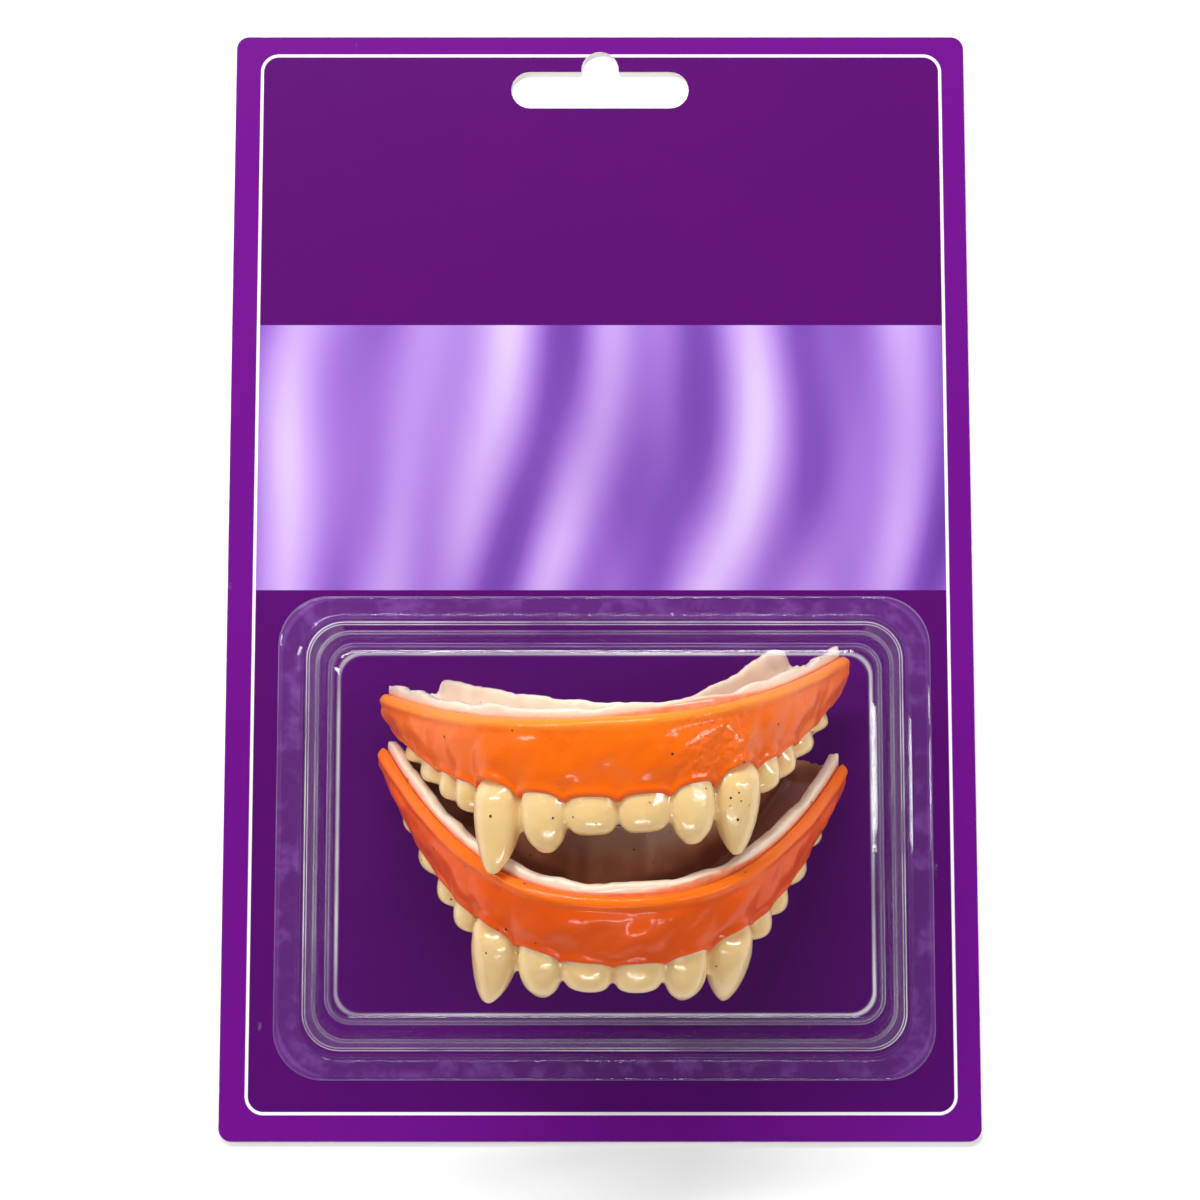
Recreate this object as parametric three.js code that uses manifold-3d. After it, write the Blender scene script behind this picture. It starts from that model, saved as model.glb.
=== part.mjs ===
// Two soft vinyl vampire fang dentures in a blister card, in millimetres.
// The card lies on its back: X to the right, Y towards the hang slot, Z out of the printed face.
// The origin is the middle of the card's back face.
import * as THREE from 'three';
import { mergeVertices } from 'three/addons/utils/BufferGeometryUtils.js';
import Module from 'manifold-3d';

const wasm = await Module();
wasm.setup();

// Card
const cardWide = 105;
const cardHigh = 157;
const cardThick = 0.7;
const cardCorner = 1.8;
const slotWide = 25.6;
const slotHigh = 5.4;
const slotDrop = 7.9;
const slotBumpRadius = 2.7;
const slotBumpRise = 3;

// Blister
const flangeWide = 91.6;
const flangeHigh = 67.2;
const flangeCorner = 7;
const blisterWide = 84.2;
const blisterHigh = 60.6;
const blisterCorner = 5.6;
const blisterRoom = 2.1;
const blisterDraft = 9.4;
const blisterTopCorner = 2.8;
const blisterWall = 0.45;
const blisterX = 0.6;
const blisterY = -36.6;
const seatGap = 0.3;

// Denture arch, one side of it from the middle of the front to the back end
const archHalf = 32.3;
const archDeep = 35.6;
const archPower = 2.45;

// Gum wall
const gumHigh = 11.1;
const gumHighEnd = 5.8;
const gumThick = 1.2;
const gumBelly = 0.7;
const gumTaper = 0.6;
const gumTaperEnd = 2.4;
const rootBulge = 0.7;
const pieceGap = 0.3;

// Tray that sits over the wearer's teeth
const trayWall = 1.2;
const trayFloor = 1.5;
const traySetUp = 1.4;
const troughWide = 7.8;
const troughWideEnd = 5.2;
const flashRise = 1.3;
const flashWave = 0.35;
const lingualRise = 3.9;
const lingualLean = 0.9;
const endWall = 1.6;
const endWallDrop = 0.9;

// Teeth
const toothWide = 6.6;
const toothDeep = 6.8;
const fangLong = 11.8;
const fangRise = 2.4;
const fangProud = 1.5;
const toothGap = 0.3;
const toothProud = 0.35;
const toothNarrowing = 0.3;
const fangLean = 1.2;

// Steps of the blister wall: share of the draft moved in, share of the depth reached
const blisterSteps = [
  { inward: 0.0, up: 0.02 },
  { inward: 0.2, up: 0.32 },
  { inward: 0.38, up: 0.36 },
  { inward: 0.84, up: 0.955 },
  { inward: 0.9, up: 0.99 },
  { inward: 1.0, up: 1.0 },
];

// Hand-cut top edge of each lingual wall: share of the half arch, share of lingualRise
const lingualEdges = {
  top: [
    { along: -1.0, rise: 0.2 },
    { along: -0.93, rise: 0.2 },
    { along: -0.84, rise: 0.22 },
    { along: -0.6, rise: 0.22 },
    { along: -0.3, rise: 0.18 },
    { along: -0.1, rise: 0.1 },
    { along: 0.08, rise: -0.06 },
    { along: 0.25, rise: -0.18 },
    { along: 0.42, rise: -0.12 },
    { along: 0.6, rise: 0.06 },
    { along: 0.8, rise: 0.34 },
    { along: 0.93, rise: 0.5 },
    { along: 1.0, rise: 0.2 },
  ],
  bottom: [
    { along: -1.0, rise: 0.2 },
    { along: -0.9, rise: 0.5 },
    { along: -0.6, rise: 0.75 },
    { along: -0.2, rise: 0.85 },
    { along: 0.2, rise: 0.85 },
    { along: 0.6, rise: 0.75 },
    { along: 0.9, rise: 0.8 },
    { along: 1.0, rise: 0.4 },
  ],
};

// Tooth forms from root to tip: shares of the length, half width and depth
const toothForms = {
  fang: [
    { down: 0.0, wide: 0.3, front: -0.1, back: -0.2 },
    { down: 0.08, wide: 0.66, front: -0.02, back: -0.23 },
    { down: 0.18, wide: 0.88, front: 0.02, back: -0.66 },
    { down: 0.34, wide: 1.0, front: 0.05, back: -0.98 },
    { down: 0.54, wide: 0.95, front: 0.02, back: -0.94 },
    { down: 0.74, wide: 0.74, front: -0.04, back: -0.78 },
    { down: 0.9, wide: 0.46, front: -0.12, back: -0.54 },
    { down: 1.0, wide: 0.16, front: -0.2, back: -0.34 },
  ],
  lateral: [
    { down: 0.0, wide: 0.34, front: -0.08, back: -0.22 },
    { down: 0.1, wide: 0.74, front: 0.0, back: -0.26 },
    { down: 0.26, wide: 0.95, front: 0.04, back: -0.94 },
    { down: 0.52, wide: 1.0, front: 0.03, back: -1.0 },
    { down: 0.8, wide: 0.76, front: -0.08, back: -0.88 },
    { down: 1.0, wide: 0.26, front: -0.32, back: -0.6 },
  ],
  central: [
    { down: 0.0, wide: 0.42, front: -0.08, back: -0.22 },
    { down: 0.16, wide: 0.86, front: 0.0, back: -0.26 },
    { down: 0.36, wide: 1.0, front: 0.03, back: -0.94 },
    { down: 0.7, wide: 0.98, front: 0.0, back: -1.0 },
    { down: 0.92, wide: 0.84, front: -0.1, back: -0.88 },
    { down: 1.0, wide: 0.6, front: -0.26, back: -0.7 },
  ],
  molar: [
    { down: 0.0, wide: 0.4, front: -0.06, back: -0.14 },
    { down: 0.22, wide: 0.9, front: 0.0, back: -0.16 },
    { down: 0.46, wide: 1.0, front: 0.02, back: -0.96 },
    { down: 0.84, wide: 0.9, front: -0.06, back: -0.94 },
    { down: 1.0, wide: 0.6, front: -0.22, back: -0.76 },
  ],
};

// Teeth of one side from the middle to the back: shares of toothWide, toothDeep, fangLong and
// fangRise, how far they stand proud as a share of fangProud, and the gum's bulge over the root
// as a share of rootBulge
const toothRow = [
  { name: 'central', form: 'central', wide: 1, deep: 0.68, long: 0.42, rise: 0.42, proud: 0, root: 0.8 },
  { name: 'lateral', form: 'lateral', wide: 0.96, deep: 0.68, long: 0.66, rise: 0.58, proud: 0.25, root: 1.2 },
  { name: 'fang', form: 'fang', wide: 1.1, deep: 0.8, long: 1, rise: 1, proud: 1, root: 2.9 },
  { name: 'premolar_first', form: 'molar', wide: 0.78, deep: 0.91, long: 0.36, rise: 0.46, proud: 0.4, root: 1.6 },
  { name: 'premolar_second', form: 'molar', wide: 0.8, deep: 0.97, long: 0.34, rise: 0.42, proud: 0.1, root: 1.1 },
  { name: 'molar_first', form: 'molar', wide: 1.08, deep: 1, long: 0.28, rise: 0.38, proud: 0, root: 1 },
  { name: 'molar_second', form: 'molar', wide: 1, deep: 0.88, long: 0.2, rise: 0.33, proud: 0, root: 0.9 },
];

// Where each denture's front stands from the blister's middle, as shares of the blister's width
// and height, its turns in degrees, and as shares of gumHigh how far its ends are flexed and how
// far it is held off the card
const dentures = [
  { name: 'top', right: 0.012, up: 0.224, tilt: 13.6, roll: 2.9, yaw: -1.2, flex: 0.09, lift: 0.25 },
  { name: 'bottom', right: 0.014, up: -0.146, tilt: 33.8, roll: -0.7, yaw: 0.4, flex: -0.08, lift: 0 },
];

// Colours
const cardColour = 0x5a1078;
const blisterColour = 0xe6ecf2;
const gumColour = 0xf26a1c;
const vinylColour = 0xf0dcc8;
const toothColour = 0xe9d59a;

function finish(colour, roughness, extra = {}) {
  return new THREE.MeshStandardMaterial({ color: colour, roughness, metalness: 0, ...extra });
}

function mesh(name, geometry, material) {
  const made = new THREE.Mesh(geometry, material);
  made.name = name;
  return made;
}

function mix(a, b, share) {
  return a + (b - a) * share;
}

// Straight steps between the rows of a table
function fromTable(rows, key, value, at) {
  const after = rows.findIndex((row) => row[key] >= at);
  if (after <= 0) return after === 0 ? rows[0][value] : rows[rows.length - 1][value];
  const low = rows[after - 1];
  const high = rows[after];
  return mix(low[value], high[value], (at - low[key]) / (high[key] - low[key]));
}

function volumeOf(points, faces) {
  let sum = 0;
  for (let f = 0; f < faces.length; f += 3) {
    const [a, b, c] = [points[faces[f]], points[faces[f + 1]], points[faces[f + 2]]];
    sum += a.dot(new THREE.Vector3().crossVectors(b, c)) / 6;
  }
  return sum;
}

// Closed body through rings of equal count; contours are the end rings laid flat
function skin(rings, contours) {
  const count = rings[0].length;
  const points = rings.flat();
  const faces = [];
  for (let r = 0; r + 1 < rings.length; r++) {
    for (let k = 0; k < count; k++) {
      const a = r * count + k;
      const b = r * count + ((k + 1) % count);
      faces.push(a, b, b + count, a, b + count, a + count);
    }
  }
  [0, rings.length - 1].forEach((ring, end) => {
    const flat = contours[end];
    const forward = THREE.ShapeUtils.area(flat) > 0;
    for (const [i, j, k] of THREE.ShapeUtils.triangulateShape(flat, [])) {
      const same = THREE.ShapeUtils.area([flat[i], flat[j], flat[k]]) > 0 === forward;
      const corner = [i, j, k].map((n) => ring * count + n);
      if (same !== (end === 1)) corner.reverse();
      faces.push(...corner);
    }
  });
  if (volumeOf(points, faces) < 0) faces.reverse();
  const geometry = new THREE.BufferGeometry().setFromPoints(points);
  geometry.setIndex(faces);
  return geometry;
}

function solidOf(geometry) {
  return new wasm.Manifold(new wasm.Mesh({
    numProp: 3,
    vertProperties: new Float32Array(geometry.attributes.position.array),
    triVerts: new Uint32Array(geometry.index.array),
  }));
}

function geometryOf(solid) {
  const { vertProperties, triVerts, numProp } = solid.getMesh();
  const geometry = new THREE.BufferGeometry();
  geometry.setAttribute('position', new THREE.BufferAttribute(new Float32Array(vertProperties), numProp));
  geometry.setIndex(new THREE.BufferAttribute(new Uint32Array(triVerts), 1));
  return geometry;
}

// Card: a rounded sheet with the hang slot cut through it
function roundedOutline(path, wide, high, corner) {
  const [x, y] = [wide / 2, high / 2];
  path.moveTo(-x + corner, -y);
  path.absarc(x - corner, -y + corner, corner, -Math.PI / 2, 0);
  path.absarc(x - corner, y - corner, corner, 0, Math.PI / 2);
  path.absarc(-x + corner, y - corner, corner, Math.PI / 2, Math.PI);
  path.absarc(-x + corner, -y + corner, corner, Math.PI, Math.PI * 1.5);
  return path;
}

function makeCard() {
  const shape = roundedOutline(new THREE.Shape(), cardWide, cardHigh, cardCorner);
  const end = slotHigh / 2;
  const reach = slotWide / 2 - end;
  const middle = cardHigh / 2 - slotDrop;
  const bumpMiddle = middle + end + slotBumpRise - slotBumpRadius;
  const spread = Math.acos((middle + end - bumpMiddle) / slotBumpRadius);
  const slot = new THREE.Path();
  slot.moveTo(-reach, middle - end);
  slot.absarc(reach, middle, end, -Math.PI / 2, Math.PI / 2);
  slot.absarc(0, bumpMiddle, slotBumpRadius, Math.PI / 2 - spread, Math.PI / 2 + spread);
  slot.absarc(-reach, middle, end, Math.PI / 2, Math.PI * 1.5);
  shape.holes.push(slot);
  const geometry = new THREE.ExtrudeGeometry(shape, { depth: cardThick, bevelEnabled: false, curveSegments: 6 });
  geometry.deleteAttribute('normal');
  geometry.deleteAttribute('uv');
  return mergeVertices(geometry);
}

// Blister: one thermoformed wall, outside and inside, open at the card
const cornerSteps = 5;

function blisterRing(wide, high, corner, z) {
  const ring = [];
  const [x, y] = [wide / 2 - corner, high / 2 - corner];
  [[x, y], [-x, y], [-x, -y], [x, -y]].forEach(([cx, cy], quarter) => {
    for (let step = 0; step <= cornerSteps; step++) {
      const angle = (quarter + step / cornerSteps) * Math.PI / 2;
      const px = blisterX + cx + corner * Math.cos(angle);
      ring.push(new THREE.Vector3(px, blisterY + cy + corner * Math.sin(angle), z));
    }
  });
  return ring;
}

// It is as deep as the dentures reach, with some room and the wall over them
function makeBlister(reach) {
  const seat = cardThick + seatGap;
  const blisterDeep = reach - seat + blisterRoom + blisterWall;
  const wallRing = ({ inward, up }, inset) => {
    const shrink = 2 * (blisterDraft * inward + inset);
    const corner = mix(blisterCorner, blisterTopCorner, inward) - inset / 2;
    const z = Math.max(seat + blisterDeep * up - inset, seat);
    return blisterRing(blisterWide - shrink, blisterHigh - shrink, corner, z);
  };
  const outside = blisterSteps.map((row) => wallRing(row, 0)).reverse();
  const foot = blisterRing(blisterWide, blisterHigh, blisterCorner, seat + blisterWall);
  const inner = blisterWide - 2 * blisterWall;
  const innerHigh = blisterHigh - 2 * blisterWall;
  const mouth = blisterRing(inner, innerHigh, blisterCorner - blisterWall / 2, seat);
  const rings = [
    ...outside,
    foot,
    blisterRing(flangeWide, flangeHigh, flangeCorner, seat + blisterWall),
    blisterRing(flangeWide, flangeHigh, flangeCorner, seat),
    mouth,
    ...blisterSteps.slice(1).map((row) => wallRing(row, blisterWall)),
  ];
  const flat = (ring) => ring.map((p) => new THREE.Vector2(p.x, p.y));
  return skin(rings, [flat(rings[0]), flat(rings[rings.length - 1])]);
}

// Arch: points at equal shares of its length, with the outward direction
const archSamples = 240;
const archLengths = [0];
const archPoint = (v) => new THREE.Vector2(archHalf * v, archDeep * v ** archPower);
for (let n = 1; n <= archSamples; n++) {
  const step = archPoint(n / archSamples).distanceTo(archPoint((n - 1) / archSamples));
  archLengths.push(archLengths[n - 1] + step);
}
const archLength = archLengths[archSamples];

function archAt(share) {
  const side = Math.sign(share) || 1;
  const length = Math.min(Math.abs(share), 1) * archLength;
  const n = Math.max(archLengths.findIndex((reached) => reached >= length), 1);
  const within = (length - archLengths[n - 1]) / (archLengths[n] - archLengths[n - 1]);
  const v = (n - 1 + within) / archSamples;
  const point = archPoint(v);
  const slope = side * archDeep * archPower / archHalf * v ** (archPower - 1);
  const out = new THREE.Vector2(slope, -1).normalize();
  return { x: side * point.x, y: point.y, out };
}

function inArch(place, outward, z) {
  return new THREE.Vector3(place.x + place.out.x * outward, place.y + place.out.y * outward, z);
}

// Sizes and places of the teeth: the middle of each is a share of the half arch
const toothPlaces = [];
let reached = toothGap / 2;
for (const row of toothRow) {
  const tooth = {
    ...row,
    wide: row.wide * toothWide,
    deep: row.deep * toothDeep,
    long: row.long * fangLong,
    rise: row.rise * fangRise,
    proud: row.proud * fangProud,
    root: row.root * rootBulge,
  };
  const at = (reached + tooth.wide / 2) / archLength;
  reached += tooth.wide + toothGap;
  toothPlaces.push({ ...tooth, side: 'left', at: -at }, { ...tooth, side: 'right', at });
}

// Gum: its height and its outer face, from the rim down
const gumHeight = (share) => mix(gumHigh, gumHighEnd, share ** 2);

function gumFace(share, level) {
  const taper = mix(gumTaper, gumTaperEnd, share ** 2);
  return gumBelly * Math.sin(Math.PI * level) - taper * level ** 2;
}

function gumRoots(share, level) {
  return Math.max(...toothPlaces.map((tooth) => {
    const off = Math.min(Math.abs(share - tooth.at) * 2 * archLength / tooth.wide, 1);
    return tooth.root * Math.max(0, level - 0.25) * Math.cos(off * Math.PI / 2);
  }));
}

function loftAlong(shares, sectionAt) {
  const sections = shares.map(sectionAt);
  const rings = sections.map((section, n) => {
    const place = archAt(shares[n]);
    return section.map(([outward, z]) => inArch(place, outward, z));
  });
  const flat = (section) => section.map(([outward, z]) => new THREE.Vector2(outward, z));
  return skin(rings, [flat(sections[0]), flat(sections[sections.length - 1])]);
}

const evenShares = (count, end) => Array.from({ length: count }, (_, n) => mix(-end, end, n / (count - 1)));

function gumSection(share) {
  const high = gumHeight(share);
  const outside = [0.25, 0.5, 0.78, 1].map((level) => (
    [gumFace(share, level) + gumRoots(share, level), -high * level]
  ));
  return [
    [-gumThick, -0.15 * gumThick],
    [-gumThick / 2, 0],
    [0, -0.3 * gumThick],
    ...outside,
    [gumFace(share, 1) - gumThick, -high],
    [gumFace(share, 0.5) - gumThick, -high / 2],
  ];
}

// Tray: lining behind the gum, trough for the wearer's teeth, lingual wall
function traySection(share, lingualEdge) {
  const high = gumHeight(share);
  const away = Math.abs(share);
  const ending = away > 1 - endWall / archLength / 2;
  const under = -(high - traySetUp);
  const floor = ending ? -endWallDrop : under + trayFloor;
  const back = gumThick + pieceGap;
  const inner = back + trayWall;
  const across = inner + mix(troughWide, troughWideEnd, share ** 2);
  const flash = flashRise + flashWave * Math.sin(share * 23) * Math.cos(share * 9);
  const edge = lingualRise * fromTable(lingualEdge, 'along', 'rise', share);
  const low = mix(gumFace(share, 0.5), gumFace(share, 1), (under / -high - 0.5) / 0.5);
  const half = ending ? floor + 0.1 : -high / 3;
  return [
    [low - back, under],
    [gumFace(share, 0.5) - back, -high / 2],
    [-back, -gumThick / 2],
    [-back, flash],
    [-inner, flash - flashWave],
    [-inner, half],
    [low - inner, floor],
    [-across, floor],
    [-across - lingualLean / 3, half],
    [-across - lingualLean, edge],
    [-across - lingualLean - trayWall * 0.8, edge],
    [-across - lingualLean / 3 - trayWall, -high / 3],
    [-across - trayWall, under],
  ];
}

function trayShares() {
  const step = endWall / archLength;
  return [-1, ...evenShares(43, 1 - step), 1];
}

// Tooth: rings from the root to the tip, grown by a clearance where it cuts a neighbour
function toothBody(tooth, clearance) {
  const place = archAt(tooth.at);
  const along = new THREE.Vector2(-place.out.y, place.out.x);
  const top = -(gumHeight(tooth.at) - tooth.rise);
  const face = gumFace(tooth.at, 1) + toothProud + rootBulge / 2 + tooth.proud;
  const sign = tooth.at < 0 ? 1 : -1;
  const lean = tooth.form === 'fang' ? sign * fangLean : 0;
  const form = toothForms[tooth.form];
  const sides = tooth.form === 'molar' ? 8 : 10;
  const contours = [];
  const rings = form.map(({ down, wide, front, back }, n) => {
    const end = n === 0 ? clearance : n === form.length - 1 ? -clearance : 0;
    const z = top - tooth.long * down + end;
    const middle = face + tooth.deep * (front + back) / 2 + lean * down ** 2;
    const halfDeep = tooth.deep * (front - back) / 2 + clearance;
    const halfWide = tooth.wide / 2 * wide + clearance;
    const flat = [];
    for (let k = 0; k < sides; k++) {
      const angle = (k + 0.5) / sides * 2 * Math.PI;
      const outward = middle + halfDeep * Math.sin(angle);
      const narrow = 1 + toothNarrowing * Math.min(outward - face, 0) / tooth.deep;
      flat.push(new THREE.Vector2(halfWide * Math.cos(angle) * narrow, outward));
    }
    contours.push(flat);
    return flat.map((p) => {
      const point = inArch(place, p.y, z);
      return point.add(new THREE.Vector3(along.x * p.x, along.y * p.x, 0));
    });
  });
  return skin(rings, [contours[0], contours[contours.length - 1]]);
}

function cutByTeeth(geometry) {
  let solid = solidOf(geometry);
  for (const tooth of toothPlaces) solid = solid.subtract(solidOf(toothBody(tooth, pieceGap)));
  return geometryOf(solid);
}

// Soft vinyl flexed by its neighbour: one end of the arch goes up and the other down
function flexed(geometry, flex) {
  const places = geometry.attributes.position;
  for (let n = 0; n < places.count; n++) {
    const across = places.getX(n) / archHalf;
    places.setZ(n, places.getZ(n) + flex * gumHigh * across * Math.abs(across));
  }
  return geometry;
}

// One denture, set down on the card with a small gap
function makeDenture({ name, right, up, tilt, roll, yaw, flex, lift }) {
  const denture = new THREE.Group();
  denture.rotation.set(
    THREE.MathUtils.degToRad(tilt - 90),
    THREE.MathUtils.degToRad(yaw),
    THREE.MathUtils.degToRad(roll),
    'ZYX',
  );
  const gum = loftAlong(evenShares(57, 1), gumSection);
  const tray = loftAlong(trayShares(), (share) => traySection(share, lingualEdges[name]));
  denture.add(mesh(`${name}_gum`, flexed(cutByTeeth(gum), flex), finish(gumColour, 0.3)));
  denture.add(mesh(`${name}_tray`, flexed(cutByTeeth(tray), flex), finish(vinylColour, 0.45)));
  for (const tooth of toothPlaces) {
    const body = flexed(toothBody(tooth, 0), flex);
    denture.add(mesh(`${name}_${tooth.name}_${tooth.side}`, body, finish(toothColour, 0.35)));
  }
  denture.updateMatrixWorld(true);
  const lowest = new THREE.Box3().setFromObject(denture, true).min.z;
  const x = blisterX + right * blisterWide;
  const y = blisterY + up * blisterHigh;
  denture.position.set(x, y, cardThick + seatGap + lift * gumHigh - lowest);
  return denture;
}

const blisterFinish = finish(blisterColour, 0.08, { transparent: true, opacity: 0.25 });

const group = new THREE.Group();
for (const denture of dentures) group.add(makeDenture(denture));
const reach = new THREE.Box3().setFromObject(group, true).max.z;
group.add(mesh('card', makeCard(), finish(cardColour, 0.45)));
group.add(mesh('blister', makeBlister(reach), blisterFinish));

export default group;
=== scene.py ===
"""Two soft vinyl fang dentures in a blister card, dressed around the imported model."""

import math

import bmesh
import bpy
import numpy as np
from mathutils import Matrix, Vector


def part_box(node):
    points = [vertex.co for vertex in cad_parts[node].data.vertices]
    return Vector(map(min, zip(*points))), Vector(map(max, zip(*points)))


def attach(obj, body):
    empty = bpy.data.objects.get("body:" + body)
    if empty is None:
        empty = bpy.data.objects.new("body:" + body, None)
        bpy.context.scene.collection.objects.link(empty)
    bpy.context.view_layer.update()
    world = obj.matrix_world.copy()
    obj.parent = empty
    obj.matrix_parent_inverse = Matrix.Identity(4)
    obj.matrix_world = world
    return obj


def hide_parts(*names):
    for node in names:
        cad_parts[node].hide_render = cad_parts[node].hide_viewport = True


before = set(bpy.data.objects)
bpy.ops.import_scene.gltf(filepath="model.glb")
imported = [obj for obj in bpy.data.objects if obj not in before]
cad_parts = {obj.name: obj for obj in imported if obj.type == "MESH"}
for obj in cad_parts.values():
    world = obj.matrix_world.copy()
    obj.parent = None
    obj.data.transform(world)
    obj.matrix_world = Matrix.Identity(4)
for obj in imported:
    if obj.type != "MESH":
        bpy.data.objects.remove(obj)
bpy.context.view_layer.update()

# Camera: the pack is seen from 360 mm away, nearly straight above the aim on the card and
# leaning a little towards its lower end, with a margin of floor on every side.
MM = 0.001
AIM = Vector((0, -3.5, 0.7)) * MM
DISTANCE = 360 * MM
SEEN_ACROSS = 169.1 * MM
LEAN = math.radians(6.75)
SENSOR = 36

camera_data = bpy.data.cameras.new("camera")
camera_data.sensor_width = SENSOR
camera_data.lens = SENSOR * DISTANCE / SEEN_ACROSS
camera = bpy.data.objects.new("camera", camera_data)
camera.location = AIM - DISTANCE * Vector((0, math.sin(LEAN), -math.cos(LEAN)))
camera.rotation_euler = (LEAN, 0, 0)
bpy.context.scene.collection.objects.link(camera)
bpy.context.scene.camera = camera


# Backing card: white pulp board, die cut with a hang slot, printed purple and varnished.
# A white keyline runs round the print, and a band of draped cloth crosses it, with plain
# purple above and below. The board shows at its cut edge and on its back.
KEYLINE_HALF = (48.9, 75.2)
KEYLINE_MIDDLE = (0.15, 0.5)
KEYLINE_CORNER = 2.4
KEYLINE_WIDE = 0.42
DRAPE_FROM, DRAPE_TO = -2.1, 36.0
DRAPE_HALF = 48.7
FOLD_PITCH = 20
CARD_HALF = (52.5, 78.5)
PRINT_TOP = 0.68


def colour(red, green, blue):
    """The linear colour of one given as it looks, 0 to 255 a channel."""
    share = [value / 255 for value in (red, green, blue)]
    return tuple(v / 12.92 if v < 0.04045 else ((v + 0.055) / 1.055) ** 2.4 for v in share) + (1,)


class Wire:
    """A socket in a node tree. Arithmetic on it adds Math nodes to the tree."""

    def __init__(self, tree, socket=None):
        self.tree = tree
        self.socket = socket

    def node(self, kind, settings=None, sockets=None, out=0):
        """Adds a node: its settings first, then the values or links of its sockets."""
        made = self.tree.nodes.new(kind)
        for name, value in (settings or {}).items():
            if name == "stops":
                ramp = made.color_ramp.elements
                while len(ramp) < len(value):
                    ramp.new(1)
                for stop, (place, tone) in zip(ramp, value):
                    stop.position, stop.color = place, tone
            else:
                setattr(made, name, value)
        for name, value in (sockets or {}).items():
            if isinstance(value, Wire):
                self.tree.links.new(value.socket, made.inputs[name])
            else:
                made.inputs[name].default_value = value
        return Wire(self.tree, made.outputs[out] if len(made.outputs) else None)

    def math(self, operation, *others):
        return self.node("ShaderNodeMath", {"operation": operation}, dict(enumerate((self, *others))))

    def __add__(self, other):
        return self.math("ADD", other)

    def __radd__(self, other):
        return self.math("ADD", other)

    def __sub__(self, other):
        return self.math("SUBTRACT", other)

    def __rsub__(self, other):
        return (self * -1).math("ADD", other)

    def __mul__(self, other):
        return self.math("MULTIPLY", other)

    def __rmul__(self, other):
        return self.math("MULTIPLY", other)

    def __truediv__(self, other):
        return self.math("DIVIDE", other)

    def __abs__(self):
        return self.math("ABSOLUTE")

    def over(self, low, high):
        """0 below low, 1 above high, and a soft rise between them."""
        sockets = {"Value": self, "From Min": low, "From Max": high}
        return self.node("ShaderNodeMapRange", {"interpolation_type": "SMOOTHSTEP"}, sockets)

    def tint(self, under, above, way="MIX"):
        """Colour under where this is 0, colour above where it is 1."""
        settings = {"data_type": "RGBA", "blend_type": way}
        return self.node("ShaderNodeMix", settings, {0: self, 6: under, 7: above}, out=2)

    def axis(self, number):
        return self.node("ShaderNodeSeparateXYZ", sockets={0: self}, out=number)

    def grain(self, pitch, detail=2.0, stretch=(1, 1, 1)):
        """Noise from 0 to 1 on a place in mm, with lumps as long as the pitch."""
        scale = tuple(value / pitch for value in stretch)
        place = self.node("ShaderNodeVectorMath", {"operation": "MULTIPLY"}, {0: self, 1: scale})
        return place.node("ShaderNodeTexNoise", sockets={"Vector": place, "Scale": 1.0, "Detail": detail})

    def past_corner(self, along, corner):
        """Distance beyond a rounded rectangle, given the distances beyond its straight sides."""
        across, along = self + corner, along + corner
        slant = across.math("MAXIMUM", 0).math("POWER", 2) + along.math("MAXIMUM", 0).math("POWER", 2)
        return slant.math("SQRT") + across.math("MAXIMUM", along).math("MINIMUM", 0) - corner

    def relief(self, high, strength=1.0):
        """A Normal from this height, 1 being as high as the given size in mm."""
        sockets = {"Height": self, "Distance": high * MM, "Strength": strength}
        return self.node("ShaderNodeBump", sockets=sockets)


def new_finish(name):
    material = bpy.data.materials.new(name)
    material.use_nodes = True
    material.node_tree.nodes.clear()
    start = Wire(material.node_tree)
    place = start.node("ShaderNodeTexCoord", out="Object")
    in_mm = start.node("ShaderNodeVectorMath", {"operation": "SCALE"}, {0: place, "Scale": 1 / MM})
    return material, in_mm


def close_finish(place, **sockets):
    shader = place.node("ShaderNodeBsdfPrincipled", sockets={k.replace("_", " "): v for k, v in sockets.items()})
    place.node("ShaderNodeOutputMaterial", sockets={"Surface": shader})


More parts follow.
